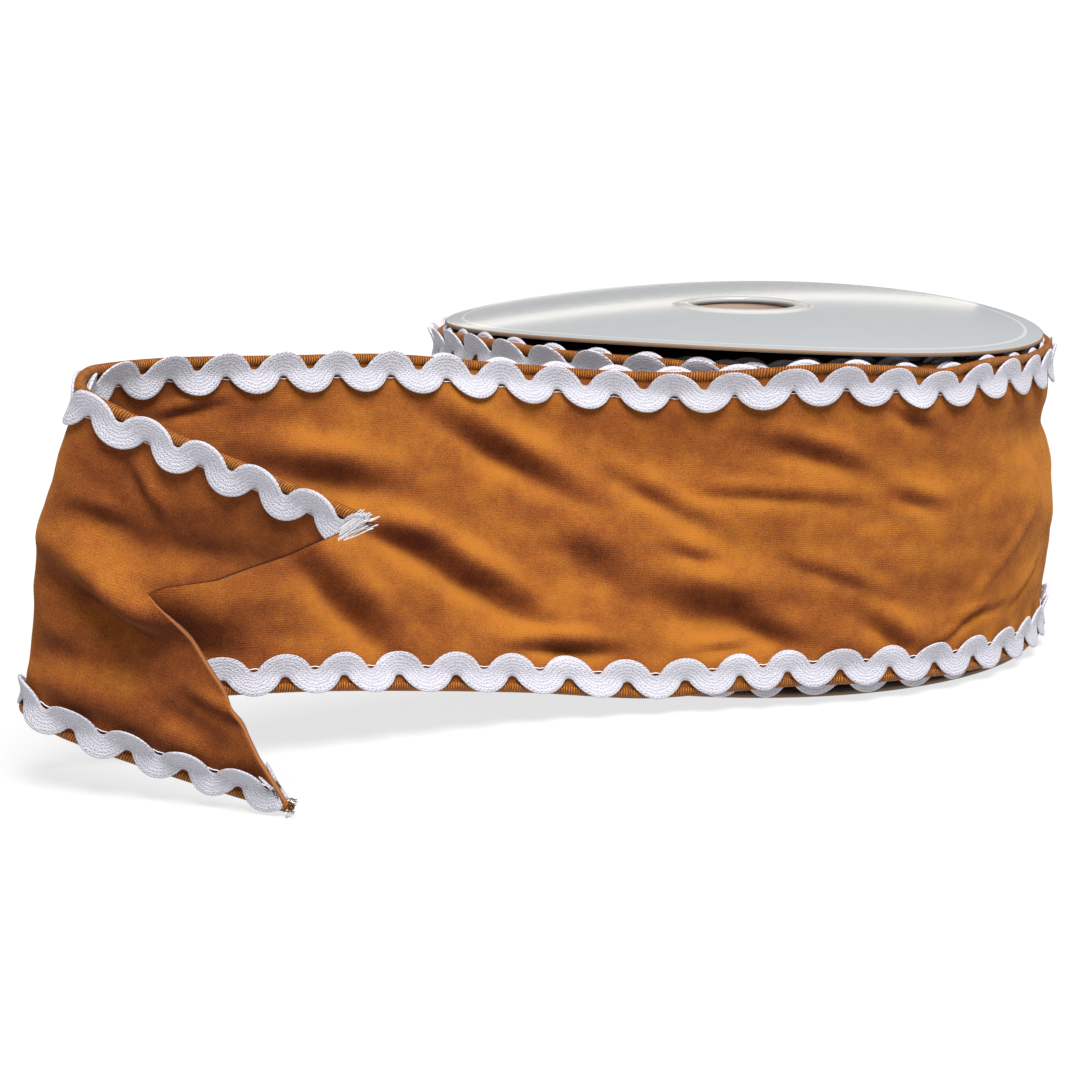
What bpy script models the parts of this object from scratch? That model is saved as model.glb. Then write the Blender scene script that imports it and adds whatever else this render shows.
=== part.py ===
"""Roll of wired ribbon on a card spool.

The spool lies flat on its lower flange. The ribbon's loose end goes round the right side and
the front of the spool, runs on to the left with its foot rising, is folded back on itself
there, and ends in a V-cut whose lower point touches the ground.

Lengths below are millimetres, and the model is built in metres, +Z up.
"""
import math

import bmesh
import bpy
from mathutils import Vector

MM = 0.001

# Spool: two card flanges on a card tube
SPOOL_X = 32.5
SPOOL_Y = 46.3
FLANGE_RADIUS = 62.3
CARD_THICK = 0.8
HUB_HOLE_RADIUS = 10.9
HUB_RING_RADIUS = 13.8
HUB_RING_RISE = 0.4
TUBE_OUTER_RADIUS = 13.6
FLANGE_STEPS = 60

# Top flange: the height of its middle, and how far the card is tilted, bent and domed
FLANGE_MID_Z = 68.6
FLANGE_TILT_X = -0.8
FLANGE_TILT_Y = -0.65
FLANGE_BEND = 3.2
FLANGE_DOME = 1.0
FLANGE_CREST_DEG = 70.0

# Ribbon
RIBBON_WIDTH = 62.0
CLOTH_THICK = 1.2
CLEARANCE = 0.3

# Ric-rac braid: a flat braid that runs in waves
BRAID_WIDTH = 4.6
BRAID_THICK = 1.0
BRAID_WAVE = 10.9
BRAID_SWING = 1.5
BRAID_FROM_EDGE = 3.9
BRAID_CLEARANCE = 0.6
BRAID_STEPS_A_WAVE = 5

# Wound ribbon
ROLL_INNER_RADIUS = TUBE_OUTER_RADIUS + CLEARANCE
ROLL_FOOT_Z = CARD_THICK + CLEARANCE
ROLL_TOP_Z = 62.4
WRAP_TOP_Z = 64.3
ROLL_STEPS = 72
# Outer radius of the wound ribbon at angles round the spool (0 at +X, 270 at the front):
# the outermost turn is loose at the left and lies under the loose end elsewhere
ROLL_OUTLINE = (
    # angle, radius
    (-90.0, 62.4),
    (-60.0, 61.6),
    (0.0, 61.3),
    (90.0, 61.3),
    (118.0, 61.9),
    (142.0, 64.2),
    (200.0, 64.5),
    (235.0, 63.6),
    (270.0, 62.4),
)

# Loose end on the spool: its radius at angles round the spool, and where it starts there
WRAP_OUTLINE = (
    # angle, radius
    (-90.0, 68.0),
    (-66.0, 66.0),
    (-28.0, 65.5),
    (60.0, 65.3),
    (122.0, 64.9),
)
WRAP_ROOT_DEG = 120.0
WRAP_END_ALONG = 207.0
WRAP_END_DEG = -84.0
WRAP_MEAN_RADIUS = 65.6
WRAP_FOOT_Z = 2.0
WRAP_FOOT_RISE = 2.0
WRAP_CHORD = 61.2
WRAP_TOP_IN = 0.7
WRAP_FOOT_OUT = 1.2

# Loose end off the spool, from its tip: upper and lower edge, measured from the spool's axis
FREE_SECTIONS = (
    # along, top x, top y, top z, foot x, foot y, foot z
    (0.0, -68.0, -159.0, 54.5, -83.5, -138.0, 0.4),
    (22.0, -86.5, -147.5, 60.0, -102.5, -130.5, 4.0),
    (44.0, -105.0, -137.5, 66.0, -122.5, -125.5, 9.5),
    (52.0, -112.5, -134.5, 69.0, -129.5, -121.5, 12.0),
    (58.0, -117.0, -131.0, 71.0, -131.5, -116.5, 12.5),
    (64.0, -118.0, -125.5, 72.5, -128.0, -112.0, 12.5),
    (70.0, -116.5, -119.5, 73.0, -122.0, -110.0, 12.5),
    (86.0, -106.0, -107.5, 72.5, -105.5, -107.0, 12.0),
    (108.0, -88.0, -94.0, 71.0, -84.0, -101.0, 11.5),
    (130.0, -69.5, -81.5, 69.5, -64.5, -91.0, 9.0),
    (152.0, -49.5, -71.5, 66.5, -44.0, -81.0, 6.0),
    (174.0, -28.5, -66.5, 64.3, -22.5, -74.5, 3.2),
    (190.0, -12.5, -66.0, 64.0, -7.0, -71.3, 3.6),
)
CUT_DEPTH = 35.5
CUT_FADE = 60.0

# Soft folds of the loose end: where, how long and wide, which way and how far they swell
SOFT_FOLDS = (
    # along, across, half length, half width, heading in degrees, swell
    (20.0, 44.0, 20.0, 7.0, 6.0, -1.6),
    (49.0, 31.0, 13.0, 5.0, 25.0, 2.2),
    (22.0, 14.0, 9.0, 3.5, 5.0, 1.6),
    (60.0, 24.0, 5.0, 12.0, 10.0, 1.2),
    (90.0, 53.0, 7.0, 3.0, 20.0, -1.0),
    (115.0, 40.0, 14.0, 4.5, -8.0, -2.2),
    (146.0, 51.0, 17.0, 4.5, -27.0, -2.3),
    (163.0, 57.0, 9.0, 5.0, -20.0, 1.4),
    (126.0, 50.0, 12.0, 5.0, -15.0, 1.4),
    (141.0, 23.0, 17.0, 4.5, -32.0, -2.6),
    (118.0, 24.0, 14.0, 8.0, -5.0, 1.8),
    (163.0, 30.0, 15.0, 8.0, -15.0, 1.8),
    (162.0, 9.5, 14.0, 4.0, 0.0, -2.0),
    (204.0, 38.0, 15.0, 3.0, -3.0, -1.2),
    (191.0, 18.0, 12.0, 7.0, 10.0, -2.0),
    (212.0, 26.0, 14.0, 7.0, 5.0, 1.6),
    (222.0, 50.0, 7.0, 4.0, -20.0, -1.5),
    (233.0, 37.0, 8.0, 4.0, -25.0, -1.6),
    (247.0, 11.0, 9.0, 4.0, 25.0, -1.6),
    (262.0, 33.0, 10.0, 9.0, 0.0, 1.4),
    (285.0, 30.0, 12.0, 8.0, 20.0, 1.0),
    (320.0, 34.0, 14.0, 7.0, -20.0, -1.0),
    (365.0, 30.0, 14.0, 7.0, 15.0, 1.0),
)
EDGE_CALM = 11.0
GRID_ROWS = 11
# Spacing of the cloth's mesh columns, closer where the ribbon is folded back
GRID_SPACING = (
    # from, to, step
    (0.0, 45.0, 4.5),
    (45.0, 80.0, 2.5),
    (80.0, None, 5.8),
)

COPPER_CLOTH = ("suede_cloth", (0.40, 0.16, 0.045, 1.0), 0.9)
WHITE_BRAID = ("white_braid", (0.86, 0.86, 0.90, 1.0), 0.85)
GREY_CARD = ("grey_card", (0.60, 0.64, 0.66, 1.0), 0.25)
BROWN_CARD = ("brown_card", (0.42, 0.27, 0.18, 1.0), 0.8)


# Small tools

def clear_scene():
    for obj in list(bpy.data.objects):
        bpy.data.objects.remove(obj, do_unlink=True)


def make_material(spec):
    name, colour, roughness = spec
    material = bpy.data.materials.new(name)
    material.use_nodes = True
    shader = material.node_tree.nodes["Principled BSDF"]
    shader.inputs["Base Color"].default_value = colour
    shader.inputs["Roughness"].default_value = roughness
    shader.inputs["Metallic"].default_value = 0.0
    return material


def spline_value(rows, x):
    """Smooth curve through (x, value, ...) rows, with the slope at a row from its neighbours."""
    last = len(rows) - 1
    i = 0
    while i < last - 1 and x > rows[i + 1][0]:
        i += 1

    def slope(k):
        a = rows[max(k - 1, 0)]
        b = rows[min(k + 1, last)]
        return [(q - p) / (b[0] - a[0]) for p, q in zip(a[1:], b[1:])]

    span = rows[i + 1][0] - rows[i][0]
    u = (x - rows[i][0]) / span
    u2 = u * u
    u3 = u2 * u
    start = slope(i)
    end = slope(i + 1)
    values = []
    for k, (p, q) in enumerate(zip(rows[i][1:], rows[i + 1][1:])):
        value = (2 * u3 - 3 * u2 + 1) * p + (3 * u2 - 2 * u3) * q
        value += span * ((u3 - 2 * u2 + u) * start[k] + (u3 - u2) * end[k])
        values.append(value)
    return values


def ease(x):
    x = min(max(x, 0.0), 1.0)
    return x * x * (3 - 2 * x)


# Spool

def flange_height(x, y):
    """Height of the top flange's upper face over a point, from the spool's axis."""
    px = x / FLANGE_RADIUS
    py = y / FLANGE_RADIUS
    crest = math.radians(FLANGE_CREST_DEG)
    off_crest = py * math.cos(crest) - px * math.sin(crest)
    sag = FLANGE_BEND * off_crest ** 2 + FLANGE_DOME * (px * px + py * py)
    return FLANGE_MID_Z + FLANGE_TILT_X * px + FLANGE_TILT_Y * py - sag


def turned_object(name, profile, steps, material, collection, reshape=None):
    """Ring turned from a closed profile of (radius, height), outer side listed top to bottom."""
    mesh = bpy.data.meshes.new(name + "_profile")
    bm = bmesh.new()
    verts = [bm.verts.new((r * MM, 0.0, z * MM)) for r, z in profile]
    for a, b in zip(verts, verts[1:] + verts[:1]):
        bm.edges.new((a, b))
    bm.to_mesh(mesh)
    bm.free()
    obj = bpy.data.objects.new(name, mesh)
    collection.objects.link(obj)
    screw = obj.modifiers.new("turn", "SCREW")
    screw.steps = steps
    screw.render_steps = steps
    screw.use_merge_vertices = True
    screw.merge_threshold = 0.00001
    bpy.context.view_layer.update()
    evaluated = obj.evaluated_get(bpy.context.evaluated_depsgraph_get())
    turned = bpy.data.meshes.new_from_object(evaluated)
    obj.modifiers.clear()
    obj.data = turned
    bpy.data.meshes.remove(mesh)
    turned.name = name
    if reshape:
        for vertex in turned.vertices:
            vertex.co = Vector(reshape(*(vertex.co / MM))) * MM
    turned.materials.clear()
    turned.materials.append(material)
    obj.location = (SPOOL_X * MM, SPOOL_Y * MM, 0.0)
    return obj


def radii(inner, outer, count):
    return [inner + (outer - inner) * i / count for i in range(count + 1)]


def build_flanges(collection, card):
    rim = radii(HUB_RING_RADIUS + 0.4, FLANGE_RADIUS, 4)
    upper = [(HUB_HOLE_RADIUS, HUB_RING_RISE), (HUB_RING_RADIUS, HUB_RING_RISE)]
    upper += [(r, 0.0) for r in rim]
    lower = [(r, -CARD_THICK) for r in reversed(rim)] + [(HUB_HOLE_RADIUS, -CARD_THICK)]

    def bent(x, y, z):
        return x, y, z + flange_height(x, y)

    turned_object("flange_top", upper + lower, FLANGE_STEPS, card, collection, bent)
    flat = [(HUB_HOLE_RADIUS, CARD_THICK), (FLANGE_RADIUS, CARD_THICK)]
    flat += [(FLANGE_RADIUS, 0.0), (HUB_HOLE_RADIUS, 0.0)]
    turned_object("flange_bottom", flat, FLANGE_STEPS, card, collection)


def build_tube(collection, card):
    top = FLANGE_MID_Z - CARD_THICK - CLEARANCE - 0.2
    foot = CARD_THICK + CLEARANCE
    profile = [(HUB_HOLE_RADIUS, top), (TUBE_OUTER_RADIUS, top)]
    profile += [(TUBE_OUTER_RADIUS, foot), (HUB_HOLE_RADIUS, foot)]
    turned_object("core_tube", profile, 48, card, collection)


# Wound ribbon

def roll_radius(angle):
    degrees = (math.degrees(angle) + 90.0) % 360.0 - 90.0
    return spline_value(ROLL_OUTLINE, degrees)[0]


def build_roll(collection, cloth):
    """Wound ribbon: thicker in two bands at its edges, where the braid lies turn on turn."""
    full = 100.0
    band = BRAID_FROM_EDGE + BRAID_SWING + 0.5 * BRAID_WIDTH
    sunk = BRAID_THICK
    mid = 0.5 * (ROLL_FOOT_Z + WRAP_TOP_Z)
    shoulder = 3.0
    profile = [
        (ROLL_INNER_RADIUS, ROLL_TOP_Z),
        (full - 5.0, ROLL_TOP_Z),
        (full - shoulder, WRAP_TOP_Z),
        (full - 0.9, WRAP_TOP_Z - 0.2),
        (full, WRAP_TOP_Z - 1.6),
        (full, WRAP_TOP_Z - band + 1.0),
        (full - sunk, WRAP_TOP_Z - band),
        (full - 0.4 * sunk, mid + 12.0),
        (full - 0.6 * sunk, mid - 8.0),
        (full - sunk, ROLL_FOOT_Z + band),
        (full, ROLL_FOOT_Z + band - 1.0),
        (full, ROLL_FOOT_Z + 1.6),
        (full - 0.9, ROLL_FOOT_Z + 0.2),
        (full - shoulder, ROLL_FOOT_Z),
        (ROLL_INNER_RADIUS, ROLL_FOOT_Z),
    ]

    def wound(x, y, z):
        radius = math.hypot(x, y)
        angle = math.atan2(y, x)
        if radius > ROLL_INNER_RADIUS + 1.0:
            radius += roll_radius(angle) - full
        x = radius * math.cos(angle)
        y = radius * math.sin(angle)
        ceiling = flange_height(x, y) - CARD_THICK - 0.5
        return x, y, min(z, ceiling)

    turned_object("ribbon_roll", profile, ROLL_STEPS, cloth, collection, wound)


# Loose end: its surface at a distance along it from the tip, and across it from the foot

def wrap_angle(along):
    turned = math.degrees((along - WRAP_END_ALONG) / WRAP_MEAN_RADIUS)
    return WRAP_END_DEG + turned


def wrapped_section(along):
    """Upper and lower edge where the loose end lies round the spool."""
    degrees = wrap_angle(along)
    angle = math.radians(degrees)
    radius = spline_value(WRAP_OUTLINE, min(degrees, WRAP_OUTLINE[-1][0]))[0]
    front = 1.0 - ease((degrees - WRAP_END_DEG) / 40.0)
    outward = Vector((math.cos(angle), math.sin(angle), 0.0))
    foot_z = WRAP_FOOT_Z + WRAP_FOOT_RISE * front
    top = outward * (radius - WRAP_TOP_IN * front)
    foot = outward * (radius + WRAP_FOOT_OUT * front)
    top.z = foot_z + WRAP_CHORD
    foot.z = foot_z
    return top, foot


def section_rows():
    rows = list(FREE_SECTIONS)
    along = WRAP_END_ALONG
    while wrap_angle(along) < WRAP_ROOT_DEG + 6.0:
        top, foot = wrapped_section(along)
        rows.append((along, *top, *foot))
        along += 12.0
    return rows


SECTION_ROWS = section_rows()
TAIL_LENGTH = WRAP_END_ALONG + math.radians(WRAP_ROOT_DEG - WRAP_END_DEG) * WRAP_MEAN_RADIUS


def edges_at(along):
    values = spline_value(SECTION_ROWS, along)
    return Vector(values[:3]), Vector(values[3:])


def swell(along, across):
    """How far the cloth stands out of its plain section, to its outer side."""
    total = 0.0
    for at, over, length, width, heading, height in SOFT_FOLDS:
        turn = math.radians(heading)
        d_along = along - at
        d_across = across - over
        if abs(d_along) > 3.0 * max(length, width):
            continue
        a = (d_along * math.cos(turn) + d_across * math.sin(turn)) / length
        b = (d_across * math.cos(turn) - d_along * math.sin(turn)) / width
        total += height * math.exp(-a * a - b * b)
    calm = ease(across / EDGE_CALM) * ease((RIBBON_WIDTH - across) / EDGE_CALM)
    puff = 1.6 * ease((along - 200.0) / 60.0) * math.sin(math.pi * across / RIBBON_WIDTH)
    return calm * total + puff


def tail_frame(along, across):
    """Point on the middle of the cloth, and the direction to its outer side."""
    top, foot = edges_at(along)
    top_on, foot_on = edges_at(along + 0.5)
    share = across / RIBBON_WIDTH
    here = foot.lerp(top, share)
    forward = foot_on.lerp(top_on, share) - here
    outward = forward.cross(top - foot).normalized()
    return here + outward * swell(along, across), outward


def place(x_y_z):
    return Vector((x_y_z[0] + SPOOL_X, x_y_z[1] + SPOOL_Y, x_y_z[2])) * MM


def cut_back(share):
    """How far the V-cut goes in from the tips, at a share of the width."""
    return CUT_DEPTH * (1.0 - abs(2.0 * share - 1.0))


def column_stations():
    stations = []
    for start, stop, step in GRID_SPACING:
        stop = TAIL_LENGTH if stop is None else stop
        count = max(1, round((stop - start) / step))
        stations += [start + (stop - start) * i / count for i in range(count)]
    return stations + [TAIL_LENGTH]


def thin_sheet(name, columns, rows, point_at, thick, material, collection):
    """Sheet from a grid whose points are placed by a function, with its thickness added."""
    bm = bmesh.new()
    bmesh.ops.create_grid(bm, x_segments=columns, y_segments=rows, size=0.5)
    for vertex in bm.verts:
        column = round((vertex.co.x + 0.5) * columns)
        row = round((vertex.co.y + 0.5) * rows)
        vertex.co = place(point_at(column, row))
    mesh = bpy.data.meshes.new(name)
    bm.to_mesh(mesh)
    bm.free()
    obj = bpy.data.objects.new(name, mesh)
    collection.objects.link(obj)
    solidify = obj.modifiers.new("thickness", "SOLIDIFY")
    solidify.thickness = thick * MM
    solidify.offset = 0.0
    mesh.materials.append(material)
    return obj


def cloth_grid():
    """Points and outward directions of the cloth's mesh, column by column from the cut end."""
    stations = column_stations()
    grid = []
    for station in stations:
        column = []
        for row in range(GRID_ROWS + 1):
            share = row / GRID_ROWS
            along = station + cut_back(share) * max(0.0, 1.0 - station / CUT_FADE)
            column.append(tail_frame(along, share * RIBBON_WIDTH))
        grid.append(column)
    return stations, grid


def build_tail(collection, cloth, stations, grid):
    thin_sheet("tail_cloth", len(stations) - 1, GRID_ROWS,
               lambda column, row: grid[column][row][0], CLOTH_THICK, cloth, collection)


def on_cloth(stations, grid, along, across, height):
    """Point at a height over the cloth's own mesh, so that the braid follows its facets."""
    share = across / RIBBON_WIDTH
    back = cut_back(share)
    station = along
    if along < CUT_FADE:
        station = max(0.0, (along - back) / (1.0 - back / CUT_FADE))
    i = 0
    while i < len(stations) - 2 and station > stations[i + 1]:
        i += 1
    j = min(int(share * GRID_ROWS), GRID_ROWS - 1)
    u = (station - stations[i]) / (stations[i + 1] - stations[i])
    v = share * GRID_ROWS - j
    point = Vector()
    outward = Vector()
    for column, row, weight in (
        (i, j, (1 - u) * (1 - v)),
        (i + 1, j, u * (1 - v)),
        (i, j + 1, (1 - u) * v),
        (i + 1, j + 1, u * v),
    ):
        point += weight * grid[column][row][0]
        outward += weight * grid[column][row][1]
    return point + outward.normalized() * height


# Ric-rac on the loose end

def braid_edges(count, lower):
    """The two sides of the waving braid, as (along, across) pairs one step after another."""
    sides = ([], [])
    step = BRAID_WAVE / BRAID_STEPS_A_WAVE
    turn = 2.0 * math.pi / BRAID_WAVE
    base = BRAID_FROM_EDGE if lower else RIBBON_WIDTH - BRAID_FROM_EDGE
    for i in range(count + 1):
        along = 0.6 + i * step
        across = base + BRAID_SWING * math.cos(turn * along)
        slope = -BRAID_SWING * turn * math.sin(turn * along)
        length = math.hypot(1.0, slope)
        for side, sign in zip(sides, (-0.5, 0.5)):
            shift = sign * BRAID_WIDTH / length
            at = along - shift * slope
            if side:
                at = max(at, side[-1][0] + 0.25 * step)
            else:
                at = along
            side.append((at, across + shift))
    return sides


def build_braids(collection, braid, stations, grid):
    count = int((TAIL_LENGTH - 3.0) / BRAID_WAVE * BRAID_STEPS_A_WAVE)
    lift = 0.5 * CLOTH_THICK + BRAID_CLEARANCE + 0.5 * BRAID_THICK
    for face, side in (("outer", 1.0), ("inner", -1.0)):
        for edge, lower in (("top", False), ("bottom", True)):
            sides = braid_edges(count, lower)

            def point_at(column, row, sides=sides, side=side):
                along, across = sides[row][column]
                return on_cloth(stations, grid, along, across, side * lift)

            thin_sheet("ricrac_" + face + "_" + edge, count, 1, point_at,
                       BRAID_THICK, braid, collection)


def main():
    clear_scene()
    collection = bpy.data.collections.new("wired_ribbon_roll")
    bpy.context.scene.collection.children.link(collection)
    cloth = make_material(COPPER_CLOTH)
    braid = make_material(WHITE_BRAID)
    card = make_material(GREY_CARD)
    brown = make_material(BROWN_CARD)
    build_flanges(collection, card)
    build_tube(collection, brown)
    build_roll(collection, cloth)
    stations, grid = cloth_grid()
    build_tail(collection, cloth, stations, grid)
    build_braids(collection, braid, stations, grid)


main()
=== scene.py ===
"""Looks of the roll of wired ribbon: its cloth, wired edges, ric-rac, wound turns and card spool.

Lengths below are millimetres, and every piece is built in metres in the row frame, +Z up.
A place on the ribbon is given by how far it is along it from the tip, and across it from the foot.
"""

import math

import bpy
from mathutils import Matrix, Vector, noise


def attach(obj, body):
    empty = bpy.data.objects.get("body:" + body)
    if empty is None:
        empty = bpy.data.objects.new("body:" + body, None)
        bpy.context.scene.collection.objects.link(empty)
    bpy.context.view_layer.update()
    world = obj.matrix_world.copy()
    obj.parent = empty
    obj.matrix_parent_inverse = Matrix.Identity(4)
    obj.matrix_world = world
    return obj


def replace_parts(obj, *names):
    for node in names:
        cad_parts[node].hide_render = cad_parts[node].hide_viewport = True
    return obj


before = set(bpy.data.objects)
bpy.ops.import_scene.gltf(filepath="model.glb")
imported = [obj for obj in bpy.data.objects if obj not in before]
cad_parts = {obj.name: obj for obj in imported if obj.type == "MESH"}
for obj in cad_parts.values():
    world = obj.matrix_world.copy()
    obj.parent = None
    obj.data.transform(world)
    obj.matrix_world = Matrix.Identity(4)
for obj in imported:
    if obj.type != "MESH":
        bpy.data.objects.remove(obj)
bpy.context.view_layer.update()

MM = 0.001

# Spool
SPOOL_X = 32.5
SPOOL_Y = 46.3
FLANGE_RADIUS = 62.3
CARD_THICK = 0.8
HUB_HOLE_RADIUS = 10.9
HUB_RING_RADIUS = 13.8
HUB_RING_RISE = 0.4
TUBE_OUTER_RADIUS = 13.6
RING_LINE_RADIUS = 58.6
UNDERSIDE = 100.0
FLANGE_MID_Z = 68.6
FLANGE_TILT_X = -0.8
FLANGE_TILT_Y = -0.65
FLANGE_BEND = 3.2
FLANGE_DOME = 1.0
FLANGE_CREST_DEG = 70.0
FLANGE_STEPS = 256
FLANGE_RINGS = 24
FLANGE_BOTTOM_RINGS = 8
FLAT_TO_RIM = 0.5
CARD_LIP = 0.12
LIP_DROP = 0.01
# The raised ring round the hub hole, as (radius past an edge, height under its top)
HUB_RING_INSIDE = ((0.0, 0.25), (0.25, 0.03), (0.6, 0.0))
HUB_RING_OUTSIDE = ((-0.5, 0.0), (-0.1, 0.12))
HUB_RING_FOOT = 0.2
HUB_RING_CLEAR = 1.2
CORE_CLEAR = 0.1
CORE_GAP = 0.2
CORE_HEIGHTS = (20.0, 45.0)
CORE_STEPS = 96

# Ribbon
RIBBON_WIDTH = 62.0
CLOTH_THICK = 0.9
BEAD_RADIUS = 1.0
BEAD_SIDES = 12
BEAD_ROUND = 6.3
BEAD_START_STATIONS = (0.1, 0.3)
BEAD_START_LENGTH = 0.3 / 0.55
ALONG_STEP = 1.0
ACROSS_STEPS = 72
TAIL_LEAD = 2.0
WRAP_GRID_STEP = 1.5
WRAP_GRID_ROWS = 40
FORWARD_STEP = 0.5

# Ric-rac: a flat braid that waves in arcs, raised at both its sides from the stitch line
BRAID_WIDTH = 4.4
BRAID_THICK = 0.85
BRAID_WAVE = 10.9
BRAID_SWING = 1.6
BRAID_REACH = BRAID_SWING + 0.5 * BRAID_WIDTH
ARC_HALF_ANGLE = 2.0 * math.atan(BRAID_SWING / (0.25 * BRAID_WAVE))
ARC_RADIUS = 0.25 * BRAID_WAVE / math.sin(ARC_HALF_ANGLE)
BRAID_STEPS_A_WAVE = 24
BRAID_RING = 20
BRAID_SQUARENESS = 0.7
BRAID_CURL = 1.4
BRAID_START = 0.6
BRAID_OVERLAP = 0.6
BRAID_END = 1.0
PAST_CUT = 0.3

# Each braid: how far its stitch line is from the ribbon's edge, and how far the sides towards
# the edge and towards the middle stand out, at places along the ribbon
BRAID_PATHS = {
    "outer_top": (
        # along, from edge, edge side, middle side
        (0.0, 4.6, 0.4, 0.6),
        (55.0, 4.6, 0.4, 0.6),
        (66.0, 3.3, 1.5, 0.8),
        (130.0, 3.3, 1.6, 0.7),
        (190.0, 4.0, 1.8, 0.8),
        (240.0, 4.0, 1.4, 0.8),
        (270.0, 4.0, 0.8, 0.8),
        (441.0, 3.9, 0.8, 0.8),
    ),
    "inner_top": (
        (0.0, 2.6, 0.6, 0.8),
        (50.0, 2.6, 0.6, 0.8),
        (64.0, 4.2, 0.5, 0.6),
        (120.0, 3.6, 0.5, 0.6),
        (140.0, 2.7, 0.8, 0.4),
        (182.0, 2.7, 0.8, 0.4),
        (250.0, 3.3, 0.2, 0.2),
        (441.0, 3.6, 0.1, 0.1),
    ),
    "outer_bottom": (
        (0.0, 4.4, 0.4, 0.6),
        (55.0, 4.4, 0.4, 0.6),
        (66.0, 3.7, 0.8, 1.2),
        (200.0, 3.8, 0.8, 1.2),
        (441.0, 3.8, 1.0, 1.0),
    ),
    "inner_bottom": (
        (0.0, 3.5, 0.8, 1.3),
        (50.0, 3.5, 0.8, 1.3),
        (64.0, 4.2, 0.4, 0.4),
        (150.0, 4.0, 0.4, 0.4),
        (181.0, 3.6, 0.3, 0.3),
        (196.0, 1.9, 0.2, 0.2),
        (232.0, 1.9, 0.2, 0.2),
        (264.0, 3.2, 0.1, 0.1),
        (441.0, 3.6, 0.1, 0.1),
    ),
    "wrap_top": (
        (430.0, 3.9, 1.2, 1.0),
        (490.0, 3.0, 1.5, 0.9),
        (600.0, 3.0, 1.5, 0.9),
        (640.0, 3.4, 0.1, 0.1),
        (860.0, 3.6, 0.1, 0.1),
    ),
    "wrap_bottom": (
        (430.0, 3.8, 1.0, 1.0),
        (600.0, 3.8, 1.0, 1.0),
        (640.0, 3.8, 0.1, 0.1),
        (860.0, 3.8, 0.1, 0.1),
    ),
    "wrap_inner_top": (
        (430.0, 3.6, 0.1, 0.1),
        (540.0, 2.9, 0.2, 0.1),
        (860.0, 3.4, 0.1, 0.1),
    ),
    "inner_turn": (
        (0.0, 2.0, 0.3, 0.1),
        (860.0, 2.0, 0.3, 0.1),
    ),
}

# How far the lobes are shifted along the ribbon
BRAID_DRIFTS = {
    "outer_top": (
        # along, shift
        (0.0, 0.0),
        (66.0, -2.3),
        (100.0, -1.7),
        (170.0, -1.2),
        (190.0, -0.3),
        (202.0, -1.5),
        (213.0, -2.9),
        (229.0, -4.0),
        (246.0, -5.0),
        (262.0, -6.0),
        (330.0, -6.0),
        (441.0, 0.0),
    ),
    "outer_bottom": (
        (0.0, 0.0),
        (66.0, -4.7),
        (150.0, -4.6),
        (190.0, -3.6),
        (215.0, -3.5),
        (232.0, -4.7),
        (265.0, -5.2),
        (330.0, -5.2),
        (441.0, 0.0),
    ),
    "inner_bottom": (
        (0.0, 0.0),
        (150.0, 0.0),
        (180.0, -2.0),
        (330.0, -2.0),
        (441.0, 0.0),
    ),
}

# Where the ribbon lies round the spool: its upper and lower edge at angles round the axis
WRAP_SECTIONS = (
    # angle, top radius, foot radius, top z, foot z
    (-84.0, 66.8, 68.7, 65.2, 4.0),
    (-66.0, 65.4, 66.6, 64.4, 3.2),
    (-45.0, 64.6, 65.0, 63.4, 2.2),
    (-20.0, 63.6, 63.4, 62.9, 2.0),
    (0.0, 63.0, 62.7, 62.6, 2.0),
    (30.0, 62.9, 62.7, 62.6, 2.0),
    (90.0, 63.3, 63.1, 63.0, 2.0),
    (122.0, 63.7, 63.6, 63.1, 1.8),
    (150.0, 63.6, 63.5, 62.9, 1.5),
    (180.0, 63.5, 63.4, 63.4, 1.6),
    (203.0, 63.4, 63.3, 65.8, 3.8),
    (216.0, 63.4, 63.2, 66.3, 4.4),
    (234.0, 63.3, 63.0, 66.0, 4.0),
    (247.0, 63.0, 62.6, 65.9, 3.9),
    (258.0, 62.4, 62.0, 65.2, 3.2),
    (270.0, 61.5, 61.2, 64.0, 2.2),
    (300.0, 60.3, 60.3, 63.4, 1.6),
    (360.0, 60.0, 60.0, 63.0, 1.4),
    (500.0, 60.0, 60.0, 63.0, 1.4),
)
WRAP_ROOT_DEG = 120.0
WRAP_LAST_DEG = 478.0
WRAP_END_ALONG = 207.0
WRAP_END_DEG = -84.0
WRAP_MEAN_RADIUS = 65.6
WRAP_STEP = 12.0

# Turns inside the outer one, whose braid shows under the top flange
INNER_TURN_RADII = (57.0, 53.8)
INNER_TURN_FOOT = 1.4
INNER_TURN_START = 60.0
UNDER_FLANGE = 0.3

# Edges of the wound turns, as ridges on the upper and lower side of the roll
TURN_PITCH = 2.9
RIDGE_RISE = 1.7
ROLL_TOP_Z = 61.6
ROLL_FOOT_Z = 3.0
ROLL_INSET = 1.6
ROLL_TUBE_GAP = 0.3
ROLL_STEPS = 200
ROLL_RINGS = 110
ROLL_MEASURES = (1.9, 0.5)

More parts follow.
